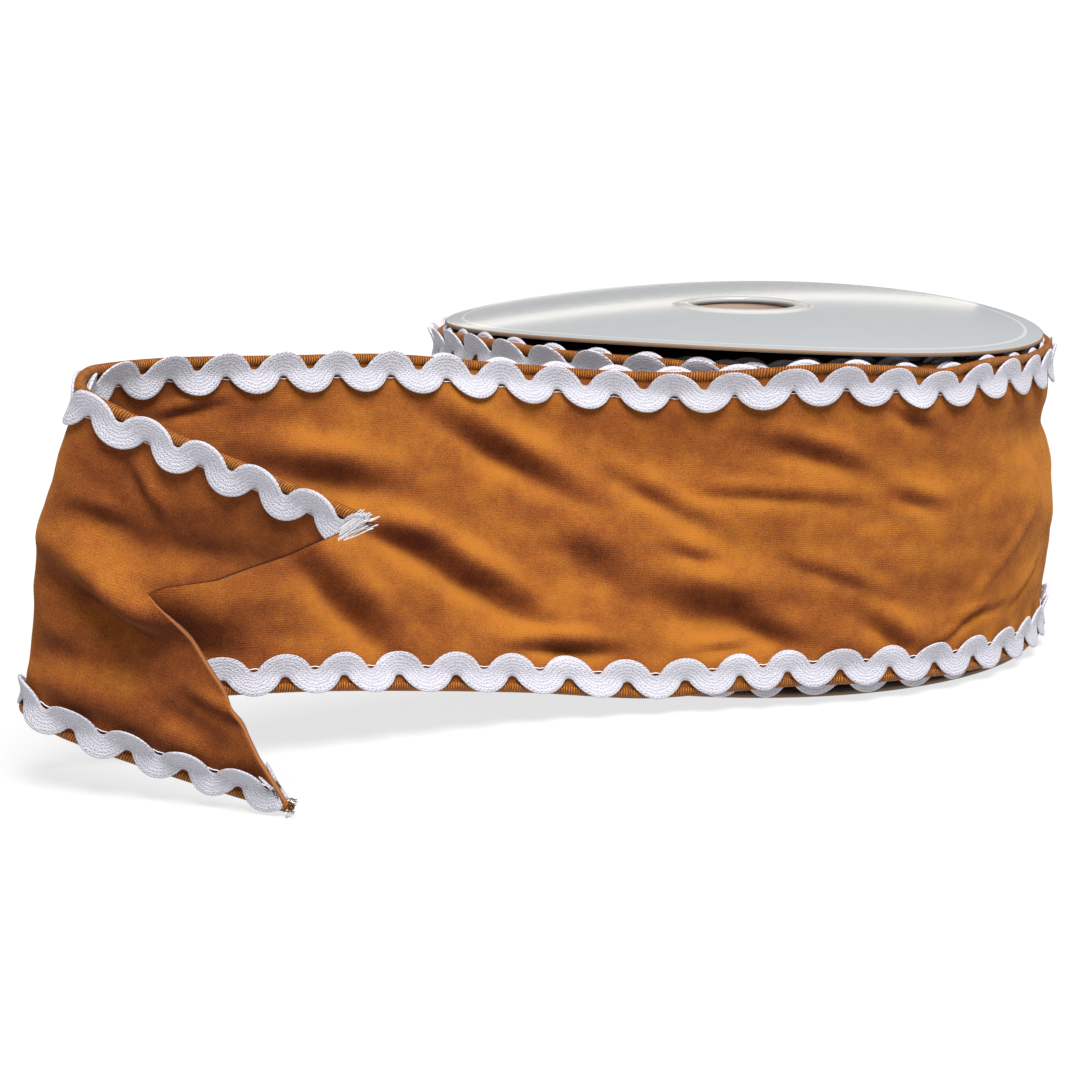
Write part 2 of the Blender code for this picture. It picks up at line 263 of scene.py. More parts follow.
# Loose end off the spool, from its tip: upper and lower edge, measured from the spool's axis
FREE_SECTIONS = (
    # along, top x, top y, top z, foot x, foot y, foot z
    (0.0, -68.0, -159.0, 54.5, -83.5, -138.0, 0.4),
    (22.0, -86.5, -147.5, 60.0, -102.5, -130.5, 4.0),
    (44.0, -105.0, -137.5, 66.0, -122.5, -125.5, 9.5),
    (52.0, -112.5, -134.5, 69.0, -129.5, -121.5, 12.0),
    (58.0, -117.0, -131.0, 71.0, -131.5, -116.5, 12.5),
    (64.0, -118.0, -125.5, 72.5, -128.0, -112.0, 12.5),
    (70.0, -116.5, -119.5, 73.0, -122.0, -110.0, 12.5),
    (86.0, -106.0, -107.5, 72.5, -105.5, -107.0, 12.0),
    (108.0, -88.0, -94.0, 71.0, -84.0, -101.0, 11.5),
    (130.0, -69.5, -81.5, 69.5, -64.5, -91.0, 9.0),
    (152.0, -49.5, -71.5, 66.5, -44.0, -81.0, 6.0),
    (174.0, -28.5, -66.5, 64.3, -22.5, -74.5, 3.2),
    (190.0, -12.5, -66.0, 64.0, -7.0, -71.3, 3.6),
)
# V-cut: how far along the cloth starts, at places across it
CUT_LINE = (
    # across, along
    (-2.0, 0.0),
    (0.0, 0.0),
    (10.0, 9.5),
    (20.0, 19.0),
    (30.0, 31.0),
    (33.5, 36.0),
    (36.0, 32.5),
    (40.0, 24.5),
    (50.0, 12.5),
    (62.0, 0.0),
    (64.0, 0.0),
)
CUT_FADE = 60.0

# Slopes in the cloth, steepest on their middle line and facing the ground where the swell is
# positive: where, how long and wide, which way the line runs and how far the cloth stands out
SLOPES = (
    # along, across, half length, half width, heading in degrees, swell
    (151.6, 45.6, 13.0, 3.6, -27.0, 1.5),
    (180.0, 38.5, 10.0, 2.4, -29.0, 0.6),
    (141.0, 22.6, 13.5, 3.8, -29.0, 1.9),
    (159.0, 9.5, 9.0, 2.2, 2.0, 1.1),
    (186.0, 27.4, 4.0, 2.0, -24.0, 0.5),
    (189.5, 18.0, 11.0, 5.5, -10.0, 1.7),
    (166.0, 27.0, 8.0, 5.0, -30.0, 0.9),
    (190.0, 9.0, 6.0, 1.4, 0.0, 0.5),
    (87.0, 13.0, 9.0, 7.5, -22.0, 2.2),
    (118.0, 17.0, 11.0, 4.2, -48.0, 2.0),
    (115.4, 41.0, 12.0, 3.8, -10.0, 1.4),
    (128.0, 29.0, 8.0, 3.0, -12.0, 0.8),
    (201.0, 37.9, 14.0, 1.8, -7.0, 0.45),
    (211.0, 45.0, 10.0, 2.6, -19.0, 0.8),
    (230.0, 36.7, 6.0, 2.2, -13.0, 0.6),
    (200.0, 12.0, 6.0, 3.0, -20.0, 0.9),
    (224.6, 10.7, 6.0, 3.0, -34.0, 1.0),
    (243.5, 10.3, 7.5, 1.1, 24.0, 0.5),
    (213.6, 21.5, 10.0, 1.8, -20.0, 0.35),
    (248.0, 11.8, 7.5, 1.1, 5.0, 0.5),
    (267.6, 15.2, 7.5, 1.2, 24.0, 0.5),
    (229.3, 52.4, 4.0, 1.8, -19.0, 0.7),
    (89.0, 52.8, 6.0, 1.3, 10.0, 0.6),
    (46.0, 29.0, 9.0, 5.4, 18.0, -2.3),
    (40.5, 26.8, 6.5, 4.2, 22.0, -1.3),
    (35.0, 27.0, 5.0, 4.2, 0.0, -1.2),
    (48.0, 43.5, 4.0, 2.2, -4.0, -0.6),
    (41.2, 50.0, 5.0, 1.6, 41.0, -0.8),
    (19.4, 16.0, 4.5, 1.5, 8.0, -0.8),
    (43.0, 13.0, 12.0, 5.0, -10.0, 1.0),
    (31.0, 40.0, 11.0, 4.5, -14.0, 0.9),
    (24.0, 9.0, 8.0, 4.0, 10.0, 0.7),
    (320.0, 34.0, 14.0, 4.0, -20.0, 0.8),
    (365.0, 26.0, 14.0, 4.0, 15.0, 0.8),
    (410.0, 38.0, 12.0, 4.0, -10.0, 0.8),
)

# Rounded swells of the cloth
SWELLS = (
    # along, across, half length, half width, heading in degrees, swell
    (58.0, 33.0, 8.5, 19.0, 0.0, -2.9),
    (54.2, 14.0, 8.5, 1.6, 63.0, 0.7),
    (258.0, 23.6, 11.0, 1.4, 37.0, 0.7),
    (285.0, 27.0, 40.0, 12.0, 0.0, 1.8),
    (288.0, 46.0, 16.0, 4.6, 0.0, -1.8),
    (340.0, 30.0, 30.0, 14.0, 0.0, 1.5),
    (400.0, 30.0, 40.0, 14.0, 0.0, 1.5),
)
EDGE_CALM = 9.0
SLOPE_DEPTH = 1.3
FOLD_REACH = 3.0

# Unevenness of the whole cloth, and how much less of it there is round the spool
UNEVENNESS = (
    # rise, length along, length across, seed
    (0.8, 22.0, 13.0, 6.0),
    (0.55, 16.0, 9.0, 3.0),
    (0.22, 7.0, 4.0, 8.0),
)
TIGHT_SHARE = 0.7
TIGHT_LENGTH = 60.0

# Waves of the ribbon's upper edge: where, half length and rise
TOP_EDGE_WAVES = (
    # along, half length, rise
    (214.0, 7.0, 0.4),
    (235.5, 6.5, -0.9),
    (252.0, 7.0, 0.5),
)

# Threads
THREAD_SIDES = 5
THREAD_SIDEWAYS = (0.3, 0.9, 0.2)
ABOVE_FLOOR = 0.02
STITCH_STEP = 0.9
STITCH_RADIUS = 0.1
STITCH_OFF_LINE = 1.0
STITCH_ZIGZAG = 0.15
STITCH_RISE = 0.15
YARN_RADIUS = 0.11
FIBRE_RADIUS = 0.07
FRAY_SEED = 7
FRAY_POINTS = 9
FRAY_SHORTEST = 0.7
FRAY_VARIATION = 0.6
FRAY_APART = 3.1
FRAY_TURNS = 2.2
FRAY_DEPTH = 1.0
FRAY_SPREAD = 0.5
YARN_FRAYS = (
    # count, along, lowest and highest across, length, lift, curl, seed
    (42, 4.6, 56.2, 58.8, 3.6, 4.8, 0.3, 1.0),
    (8, 3.6, 56.8, 59.0, 3.8, 4.6, 0.7, 5.0),
    (9, 0.9, 0.2, 1.4, 0.9, -0.6, 1.3, 9.0),
)
FIBRE_FRAYS = (
    (14, 0.9, 1.0, 4.0, 1.3, 0.2, 1.0, 14.0),
    (8, 0.7, 60.0, 61.6, 1.2, 0.4, 0.6, 17.0),
)

# Warm panels behind the object, seen in its shiny card (metres)
REFLECTED_PANELS = (
    # name, width, height, energy, x, z
    ("streak", 0.80, 0.020, 0.12, -0.06, 0.182),
)

# Painted light and shade along the cloth: darker near the tip, lighter round the spool
PAINTED_LIGHT_DRIFT = (60.0, 270.0, -0.09, 0.17)

# Patches of its tone: how many per millimetre, detail and strength
SUEDE_PATCHES = ((3.4, 3.0, 0.52), (0.9, 3.0, 0.14), (0.16, 4.0, 0.34), (0.045, 3.0, 0.34))

# Colours
# Ends and middle of the cloth's colour ramp, reached through random patches and through painted
# light and shade
SUEDE_DARK = (0.080, 0.017, 0.009)
SUEDE_MIDDLE = (0.212, 0.057, 0.0145)
SUEDE_LIGHT = (0.36, 0.125, 0.018)
SUEDE_SHEEN = (1.0, 0.45, 0.10)
CUT_EDGE = (0.30, 0.11, 0.03)
# Satin stitches: painted shade in the gaps between them and a painted highlight on their tops
SATIN_PAINTED_SHADE = (0.10, 0.024, 0.005)
SATIN_PAINTED_HIGHLIGHT = (0.50, 0.17, 0.018)
# Braid: painted shade in the grooves between the yarns, mixed with random fuzz, and the yarns' own
# white
BRAID_FUZZ_AND_GROOVE_SHADE = (0.40, 0.39, 0.44)
BRAID_LIGHT = (0.60, 0.59, 0.65)
YARN_WHITE = (0.80, 0.78, 0.80)
CARD_GREY = (0.45, 0.468, 0.48)
RING_LINE = (0.62, 0.63, 0.63)
RING_LINE_HALF_WIDTH = 0.35
HUB_RING = (0.46, 0.44, 0.41)
CARD_UNDERSIDE = (0.24, 0.215, 0.205)
CARD_EDGE = (0.24, 0.147, 0.087)
KRAFT_BROWN = (0.25, 0.17, 0.125)

# Pitches of the weave, satin stitches and braid, and depths of their relief
WEAVE_ALONG = 0.46
WEAVE_ACROSS = 0.42
WEAVE_RELIEF = 0.18
SATIN_PITCH = 0.48
SATIN_RELIEF = 0.2
PLAIT_PITCH = 0.62
PLAIT_YARN = 0.5
PLAIT_RELIEF = 0.25

# Stage
FLOOR_REACH = 20.0
FLOOR_GREY = 0.16
FLOOR_GLOW = 0.74
SKY_STRENGTH = 0.22
SUN_ENERGY = 6.0
SUN_ANGLE = math.radians(35.0)
SUN_TOWARD = (-0.15, 0.50, -1.0)
PANEL_COLOUR = (1.0, 0.93, 0.82)
PANEL_Y = 1.5
PANEL_PITCH = math.radians(-100.0)

# Camera
CAMERA_PLACE = (-9.93, -538.18, 139.28)
CAMERA_PITCH = math.radians(11.7)
CAMERA_LENS = 93.33


# Small tools

def ease(x):
    x = min(max(x, 0.0), 1.0)
    return x * x * (3 - 2 * x)


def spline_value(rows, x):
    """Smooth curve through (x, value, ...) rows, with the slope at a row from its neighbours."""
    last = len(rows) - 1
    i = 0
    while i < last - 1 and x > rows[i + 1][0]:
        i += 1

    def slope(k):
        a = rows[max(k - 1, 0)]
        b = rows[min(k + 1, last)]
        return [(q - p) / (b[0] - a[0]) for p, q in zip(a[1:], b[1:])]

    span = rows[i + 1][0] - rows[i][0]
    u = (x - rows[i][0]) / span
    u2 = u * u
    u3 = u2 * u
    start = slope(i)
    end = slope(i + 1)
    values = []
    for k, (p, q) in enumerate(zip(rows[i][1:], rows[i + 1][1:])):
        value = (2 * u3 - 3 * u2 + 1) * p + (3 * u2 - 2 * u3) * q
        value += span * ((u3 - 2 * u2 + u) * start[k] + (u3 - u2) * end[k])
        values.append(value)
    return values


def in_row_frame(point):
    """A point measured from the spool's axis in millimetres, in metres in the row frame."""
    return Vector((point[0] + SPOOL_X, point[1] + SPOOL_Y, point[2])) * MM


def grid_piece(name, grid, uvs, material, close_rows=False, close_columns=False):
    """Smooth mesh over a grid of points, given column by column, with its measures as UVs."""
    columns = len(grid)
    rows = len(grid[0])
    faces = []
    corners = []
    for i in range(columns if close_columns else columns - 1):
        for j in range(rows if close_rows else rows - 1):
            ring = ((i, j), (i + 1, j), (i + 1, j + 1), (i, j + 1))
            faces.append([(a % columns) * rows + b % rows for a, b in ring])
            corners += [uvs(a, b) for a, b in ring]
    mesh = bpy.data.meshes.new(name)
    mesh.from_pydata([in_row_frame(p) for column in grid for p in column], [], faces)
    layer = mesh.uv_layers.new(name="measure")
    layer.data.foreach_set("uv", [value for corner in corners for value in corner])
    mesh.polygons.foreach_set("use_smooth", [True] * len(faces))
    mesh.materials.append(material)
    mesh.update()
    piece = bpy.data.objects.new(name, mesh)
    bpy.context.scene.collection.objects.link(piece)
    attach(piece, "root")
    return piece


# Ribbon: its surface, from the tip to the end of the outer turn

def wrap_angle(along):
    return WRAP_END_DEG + math.degrees((along - WRAP_END_ALONG) / WRAP_MEAN_RADIUS)


def along_at(degrees):
    return WRAP_END_ALONG + math.radians(degrees - WRAP_END_DEG) * WRAP_MEAN_RADIUS


TAIL_LENGTH = along_at(WRAP_ROOT_DEG)
RIBBON_LENGTH = along_at(WRAP_LAST_DEG)


def wrapped_section(along):
    """Upper and lower edge where the ribbon lies round the spool."""
    angle = math.radians(wrap_angle(along))
    top_radius, foot_radius, top_z, foot_z = spline_value(WRAP_SECTIONS, math.degrees(angle))
    outward = Vector((math.cos(angle), math.sin(angle), 0.0))
    top = outward * top_radius
    foot = outward * foot_radius
    top.z = top_z
    foot.z = foot_z
    return top, foot


def section_rows():
    rows = list(FREE_SECTIONS)
    along = WRAP_END_ALONG
    while along < RIBBON_LENGTH + WRAP_STEP:
        top, foot = wrapped_section(along)
        rows.append((along, *top, *foot))
        along += WRAP_STEP
    return rows


SECTION_ROWS = section_rows()


def edges_at(along):
    values = spline_value(SECTION_ROWS, along)
    for at, length, rise in TOP_EDGE_WAVES:
        values[2] += rise * math.exp(-((along - at) / length) ** 2)
    return Vector(values[:3]), Vector(values[3:])


def fold_place(fold, along, across):
    """Place over a fold, in half lengths along its line and half widths across it."""
    turn = math.radians(fold[4])
    d_along = along - fold[0]
    d_across = across - fold[1]
    a = (d_along * math.cos(turn) + d_across * math.sin(turn)) / fold[2]
    b = (d_across * math.cos(turn) - d_along * math.sin(turn)) / fold[3]
    return a, b


def swell(along, across):
    """How far the cloth stands out of its plain section, to its outer side."""
    steepest = math.sqrt(2.0 * math.e)
    total = 0.0
    for fold in SLOPES:
        a, b = fold_place(fold, along, across)
        if a * a + b * b < FOLD_REACH ** 2:
            total += SLOPE_DEPTH * fold[5] * steepest * b * math.exp(-a * a - b * b)
    for fold in SWELLS:
        a, b = fold_place(fold, along, across)
        if a * a + b * b < FOLD_REACH ** 2:
            total += fold[5] * math.exp(-a * a - b * b)
    for rise, length, width, seed in UNEVENNESS:
        total += rise * noise.noise(Vector((along / length, across / width, seed)))
    calm = ease(across / EDGE_CALM) * ease((RIBBON_WIDTH - across) / EDGE_CALM)
    loose = 1.0 - TIGHT_SHARE * ease((along - TAIL_LENGTH + TIGHT_LENGTH) / TIGHT_LENGTH)
    return calm * total * loose


class RibbonField:
    """The ribbon's middle surface between two places along it, on an even grid."""

    def __init__(self, start, stop, step, rows):
        self.start = start
        self.columns = max(2, math.ceil((stop - start) / step))
        self.step = (stop - start) / self.columns
        self.rows = rows
        self.row_step = RIBBON_WIDTH / rows
        self.points = []
        self.outward = []
        for i in range(self.columns + 1):
            along = start + i * self.step
            top, foot = edges_at(along)
            top_on, foot_on = edges_at(along + FORWARD_STEP)
            points = []
            outwards = []
            for j in range(rows + 1):
                share = j / rows
                here = foot.lerp(top, share)
                forward = foot_on.lerp(top_on, share) - here
                outward = forward.cross(top - foot).normalized()
                points.append(here + outward * swell(along, share * RIBBON_WIDTH))
                outwards.append(outward)
            self.points.append(points)
            self.outward.append(outwards)

    def at(self, along, across, height=0.0):
        x = (along - self.start) / self.step
        y = across / self.row_step
        i = min(max(int(x), 0), self.columns - 1)
        j = min(max(int(y), 0), self.rows - 1)
        u = x - i
        v = y - j
        point = Vector()
        outward = Vector()
        for column, row, weight in (
            (i, j, (1 - u) * (1 - v)),
            (i + 1, j, u * (1 - v)),
            (i, j + 1, (1 - u) * v),
            (i + 1, j + 1, u * v),
        ):
            point += weight * self.points[column][row]
            outward += weight * self.outward[column][row]
        return point + outward.normalized() * height


class InnerTurn:
    """A wound turn under the outer one, as a plain cylinder that stays below the flange."""

    def __init__(self, radius):
        self.radius = radius

    def at(self, along, across, height=0.0):
        angle = along / self.radius
        x = (self.radius + height) * math.cos(angle)
        y = (self.radius + height) * math.sin(angle)
        ceiling = flange_height(x, y) - CARD_THICK - UNDER_FLANGE
        return Vector((x, y, min(INNER_TURN_FOOT + across, ceiling)))


def cut_at(across):
    """How far along the cloth starts, at a place across it."""
    for (low, start), (high, stop) in zip(CUT_LINE, CUT_LINE[1:]):
        if across <= high:
            return start + (stop - start) * (across - low) / (high - low)
    return 0.0


def build_cloth(name, field, start, stop, material, cut):
    """The ribbon's cloth between its two beads, as a sheet with its thickness."""
    columns = math.ceil((stop - start) / ALONG_STEP)
    grid = []
    places = []
    for i in range(columns + 1):
        station = start + (stop - start) * i / columns
        points = []
        place = []
        for j in range(ACROSS_STEPS + 1):
            share = j / ACROSS_STEPS
            across = BEAD_RADIUS + (RIBBON_WIDTH - 2 * BEAD_RADIUS) * share
            along = station
            if cut:
                along += cut_at(across) * max(0.0, 1.0 - station / CUT_FADE)
            points.append(field.at(along, across))
            place.append((along, across))
        grid.append(points)
        places.append(place)
    cloth = grid_piece(name, grid, lambda i, j: places[i][j], material)
    solidify = cloth.modifiers.new("thickness", "SOLIDIFY")
    solidify.thickness = CLOTH_THICK * MM
    solidify.offset = 0.0
    if cut:
        cloth.data.materials.append(cut_edge_material())
        solidify.material_offset_rim = 1
    return cloth


def build_bead(name, field, start, stop, upper, material):
    """Wire under satin stitches, along one edge of the ribbon, rounded off at its start."""
    centre = RIBBON_WIDTH - BEAD_RADIUS if upper else BEAD_RADIUS
    columns = math.ceil((stop - start) / ALONG_STEP)
    stations = [start + (stop - start) * i / columns for i in range(columns + 1)]
    stations[1:1] = [start + after for after in BEAD_START_STATIONS]
    grid = []
    for along in stations:
        radius = BEAD_RADIUS * math.sqrt(ease((along - start) / BEAD_START_LENGTH))
        ring = []
        for k in range(BEAD_SIDES):
            turn = 2 * math.pi * k / BEAD_SIDES
            ring.append(field.at(along, centre + radius * math.cos(turn), radius * math.sin(turn)))
        grid.append(ring)
    return grid_piece(name, grid, lambda i, k: (stations[i], k * BEAD_ROUND / BEAD_SIDES),
                      material, close_rows=True)


# Ric-rac

def braid_path(waves):
    """Place of the braid's middle after a number of waves, and its direction to the upper side."""
    whole = math.floor(waves + 0.25)
    turn = waves - whole
    rise = BRAID_SWING - ARC_RADIUS
    if turn < 0.25:
        bend = 4.0 * ARC_HALF_ANGLE * turn
        along = whole * BRAID_WAVE + ARC_RADIUS * math.sin(bend)
        return along, rise + ARC_RADIUS * math.cos(bend), math.sin(bend), math.cos(bend)
    bend = 4.0 * ARC_HALF_ANGLE * (turn - 0.5)
    along = (whole + 0.5) * BRAID_WAVE + ARC_RADIUS * math.sin(bend)
    return along, -rise - ARC_RADIUS * math.cos(bend), -math.sin(bend), math.cos(bend)


def braid_section():
    """Rounded flat section, as (across the braid, through it) pairs."""
    section = []
    for k in range(BRAID_RING):
        turn = 2 * math.pi * k / BRAID_RING
        c = math.cos(turn)
        s = math.sin(turn)
        wide = 0.5 * BRAID_WIDTH * math.copysign(abs(c) ** BRAID_SQUARENESS, c)
        deep = 0.5 * BRAID_THICK * math.copysign(abs(s) ** BRAID_SQUARENESS, s)
        section.append((wide, deep))
    return section


def build_braid(name, field, start, stop, path, upper, outer, material):
    """One strip of ric-rac on a face of the ribbon, beside one of its edges."""
    side = 1.0 if outer else -1.0
    to_edge = 1.0 if upper else -1.0
    section = braid_section()
    steps = int((stop - start) / BRAID_WAVE * BRAID_STEPS_A_WAVE)
    first = start / BRAID_WAVE
    rows = BRAID_PATHS[path]
    drifts = BRAID_DRIFTS.get(path, ((0.0, 0.0), (RIBBON_LENGTH, 0.0)))
    grid = []
    for i in range(steps + 1):
        along, offset, n_along, n_across = braid_path(first + i / BRAID_STEPS_A_WAVE)
        along += spline_value(drifts, along)[0]
        from_edge, edge_flare, middle_flare = spline_value(rows, along)
        base = RIBBON_WIDTH - from_edge if upper else from_edge
        ring = []
        for wide, deep in section:
            from_line = offset + wide * n_across
            flare = edge_flare if from_line * to_edge > 0 else middle_flare
            raised = flare * (abs(from_line) / BRAID_REACH) ** BRAID_CURL
            height = 0.5 * CLOTH_THICK + 0.5 * BRAID_THICK + raised + deep
            across = base + from_line
            place = max(along + wide * n_along, cut_at(across) + PAST_CUT)
            ring.append(field.at(place, across, side * height))
        grid.append(ring)
    length = 4.0 * ARC_HALF_ANGLE * ARC_RADIUS / BRAID_STEPS_A_WAVE
    across = [wide for wide, deep in section] + [section[0][0]]
    return grid_piece(name, grid, lambda i, k: (i * length, across[k]), material,
                      close_rows=True)


# Threads: stitches under the ric-rac, frayed ends and lint

def build_threads(name, paths, radius, material):
    """Thin tubes through lists of points."""
    points = []
    faces = []
    for path in paths:
        first = len(points)
        for i, point in enumerate(path):
            ahead = path[min(i + 1, len(path) - 1)] - path[max(i - 1, 0)]
            side = ahead.cross(Vector(THREAD_SIDEWAYS)).normalized()
            up = ahead.cross(side).normalized()
            for k in range(THREAD_SIDES):
                turn = 2 * math.pi * k / THREAD_SIDES
                corner = point + radius * (math.cos(turn) * side + math.sin(turn) * up)
                corner.z = max(corner.z, ABOVE_FLOOR)
                points.append(in_row_frame(corner))
        for i in range(len(path) - 1):
            for k in range(THREAD_SIDES):
                on = (k + 1) % THREAD_SIDES
                a = first + i * THREAD_SIDES
                b = a + THREAD_SIDES
                faces.append((a + k, b + k, b + on, a + on))
    mesh = bpy.data.meshes.new(name)
    mesh.from_pydata(points, [], faces)
    mesh.uv_layers.new(name="measure")
    mesh.polygons.foreach_set("use_smooth", [True] * len(faces))
    mesh.materials.append(material)
    threads = bpy.data.objects.new(name, mesh)
    bpy.context.scene.collection.objects.link(threads)
    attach(threads, "root")
    return threads


def stitch_path(field, start, stop, path, upper, outer):
    """Sewing thread beside a braid's middle line, seen where the notches leave it bare."""
    side = 1.0 if outer else -1.0
    to_middle = -1.0 if upper else 1.0
    points = []
    steps = int((stop - start) / STITCH_STEP)
    for i in range(steps):
        along = start + i * STITCH_STEP
        from_edge = spline_value(BRAID_PATHS[path], along)[0]
        base = RIBBON_WIDTH - from_edge if upper else from_edge
        across = base + to_middle * (STITCH_OFF_LINE + STITCH_ZIGZAG * (i % 2))
        along = max(along, cut_at(across) + PAST_CUT)
        points.append(field.at(along, across, side * (0.5 * CLOTH_THICK + STITCH_RISE)))
    return points


def frayed_end(field, bundle):
    """Threads that start side by side on the ribbon's inner face and spread past its tip."""
    count, along, low, high, reach, lift, curl, seed = bundle
    paths = []
    for n in range(count):
        share = n / (count - 1)
        across = low + (high - low) * share
        length = reach * (FRAY_SHORTEST + FRAY_VARIATION * noise.random())
        points = []
        for i in range(FRAY_POINTS):
            t = i / (FRAY_POINTS - 1)
            place = Vector((seed + FRAY_APART * n, FRAY_TURNS * t, seed))
            wander = noise.noise_vector(place) * curl * t
            height = -FRAY_DEPTH - FRAY_SPREAD * abs(noise.cell(Vector((seed, n, 0.0))))
            points.append(field.at(along - length * t, across + lift * t, height) + wander)
        paths.append(points)
    return paths


# Wound ribbon under the outer turn

def build_roll_body(material):
    """Turned body whose upper and lower sides show the edges of the wound turns."""
    inner = TUBE_OUTER_RADIUS + ROLL_TUBE_GAP
    grid = []
    for i in range(ROLL_STEPS):
        angle = 2 * math.pi * i / ROLL_STEPS
        degrees = (math.degrees(angle) - WRAP_ROOT_DEG) % 360.0 + WRAP_ROOT_DEG
        outer = spline_value(WRAP_SECTIONS, degrees)[0] - ROLL_INSET
        column = []
        for side in (1.0, -1.0):
            radii = even_radii(inner, outer, ROLL_RINGS)
            for radius in radii if side > 0 else reversed(radii):
                turn = (radius - inner) / TURN_PITCH - angle / (2 * math.pi)
                ridge = math.sqrt(abs(math.sin(math.pi * turn)))
                x = radius * math.cos(angle)
                y = radius * math.sin(angle)
                if side > 0:
                    ceiling = flange_height(x, y) - CARD_THICK - UNDER_FLANGE
                    z = min(ROLL_TOP_Z + RIDGE_RISE * ridge, ceiling)
                else:
                    z = ROLL_FOOT_Z - RIDGE_RISE * ridge
                column.append((x, y, z))
        grid.append(column)
    by_step, by_ring = ROLL_MEASURES
    return grid_piece("wound_turns", grid, lambda i, j: (i * by_step, j * by_ring), material,
                      close_rows=True, close_columns=True)


# Spool

def flange_height(x, y):
    """Height of the top flange's upper face over a point, from the spool's axis."""
    px = x / FLANGE_RADIUS
    py = y / FLANGE_RADIUS
    crest = math.radians(FLANGE_CREST_DEG)
    off_crest = py * math.cos(crest) - px * math.sin(crest)
    sag = FLANGE_BEND * off_crest ** 2 + FLANGE_DOME * (px * px + py * py)
    return FLANGE_MID_Z + FLANGE_TILT_X * px + FLANGE_TILT_Y * py - sag


def turned_piece(name, profile, material, reshape=None, steps=FLANGE_STEPS):
    """Piece turned from a closed profile of (radius, height); its UVs are radius and turn."""
    grid = []
    for i in range(steps):
        angle = 2 * math.pi * i / steps
        column = []
        for radius, z in profile:
            x = radius * math.cos(angle)
            y = radius * math.sin(angle)
            column.append((x, y, z + (reshape(x, y) if reshape else 0.0)))
        grid.append(column)
    lowest = min(z for radius, z in profile)
    reach = [radius + (UNDERSIDE if z < lowest + 0.01 else 0.0) for radius, z in profile]

    def measure(i, j):
        return reach[j % len(reach)], 100.0 * i / steps

    return grid_piece(name, grid, measure, material, close_rows=True, close_columns=True)


def even_radii(inner, outer, count):
    return [inner + (outer - inner) * i / count for i in range(count + 1)]


def build_flange_top(material):
    lip = CARD_LIP
    rim = FLANGE_RADIUS
    flat = rim - FLAT_TO_RIM
    profile = [(HUB_HOLE_RADIUS + past, HUB_RING_RISE - drop) for past, drop in HUB_RING_INSIDE]
    profile += [(HUB_RING_RADIUS + past, HUB_RING_RISE - drop) for past, drop in HUB_RING_OUTSIDE]
    profile.append((HUB_RING_RADIUS + HUB_RING_FOOT, 0.0))
    profile += [(r, 0.0) for r in even_radii(HUB_RING_RADIUS + HUB_RING_CLEAR, flat, FLANGE_RINGS)]
    profile += [(rim - lip, -LIP_DROP), (rim, -lip)]
    profile += [(rim, -CARD_THICK + lip), (rim - lip, -CARD_THICK)]
    under = reversed(even_radii(HUB_HOLE_RADIUS, flat, FLANGE_RINGS))
    profile += [(r, -CARD_THICK) for r in under]
    return turned_piece("flange_top_card", profile, material, flange_height)


def build_flange_bottom(material):
    lip = CARD_LIP
    rim = FLANGE_RADIUS
    radii = even_radii(HUB_HOLE_RADIUS, rim - FLAT_TO_RIM, FLANGE_BOTTOM_RINGS)
    profile = [(r, CARD_THICK) for r in radii]
    profile += [(rim - lip, CARD_THICK - LIP_DROP), (rim, CARD_THICK - lip)]
    profile += [(rim, lip), (rim - lip, 0.0)]
    profile += [(r, 0.0) for r in reversed(radii)]
    return turned_piece("flange_bottom_card", profile, material)


def build_core(material):
    heights = (CARD_THICK, *CORE_HEIGHTS, FLANGE_MID_Z - CARD_THICK - CORE_GAP)
    profile = [(HUB_HOLE_RADIUS + CORE_CLEAR, z) for z in heights]
    profile += [(TUBE_OUTER_RADIUS, z) for z in reversed(heights)]
    return turned_piece("core_card", profile, material, steps=CORE_STEPS)


# Materials

def new_material(name, colour, roughness):
    material = bpy.data.materials.new(name)
    material.use_nodes = True
    shader = material.node_tree.nodes["Principled BSDF"]
    shader.inputs["Base Color"].default_value = (*colour, 1.0)
    shader.inputs["Roughness"].default_value = roughness
    return material, material.node_tree, shader


def connect(tree, value, socket):
    """Puts a number, a colour or another node's output into a socket."""
    if isinstance(value, bpy.types.NodeSocket):
        tree.links.new(value, socket)
    else:
        socket.default_value = value


def calculate(tree, operation, first, second=0.0, third=0.0):
    node = tree.nodes.new("ShaderNodeMath")
    node.operation = operation
    for value, socket in zip((first, second, third), node.inputs):
        connect(tree, value, socket)
    return node.outputs["Value"]


def measures(tree):
    """The piece's own UVs, as two numbers."""
    place = tree.nodes.new("ShaderNodeUVMap")
    place.uv_map = "measure"
    split = tree.nodes.new("ShaderNodeSeparateXYZ")
    tree.links.new(place.outputs["UV"], split.inputs["Vector"])
    return place.outputs["UV"], split.outputs["X"], split.outputs["Y"]


def grain(tree, vector, scale, detail=2.0, roughness=0.5):
    node = tree.nodes.new("ShaderNodeTexNoise")
    tree.links.new(vector, node.inputs["Vector"])
    node.inputs["Scale"].default_value = scale
    node.inputs["Detail"].default_value = detail
    node.inputs["Roughness"].default_value = roughness
    return node.outputs["Fac"]


def ramp(tree, value, low, high, low_to=0.0, high_to=1.0):
    node = tree.nodes.new("ShaderNodeMapRange")
    connect(tree, value, node.inputs["Value"])
    node.inputs["From Min"].default_value = low
    node.inputs["From Max"].default_value = high
    node.inputs["To Min"].default_value = low_to
    node.inputs["To Max"].default_value = high_to
    return node.outputs["Result"]


def blend(tree, share, first, second):
    node = tree.nodes.new("ShaderNodeMix")
    node.data_type = "RGBA"
    connect(tree, share, node.inputs["Factor"])
    for value, socket in zip((first, second), (node.inputs[6], node.inputs[7])):
        connect(tree, value if isinstance(value, bpy.types.NodeSocket) else (*value, 1.0), socket)
    return node.outputs[2]


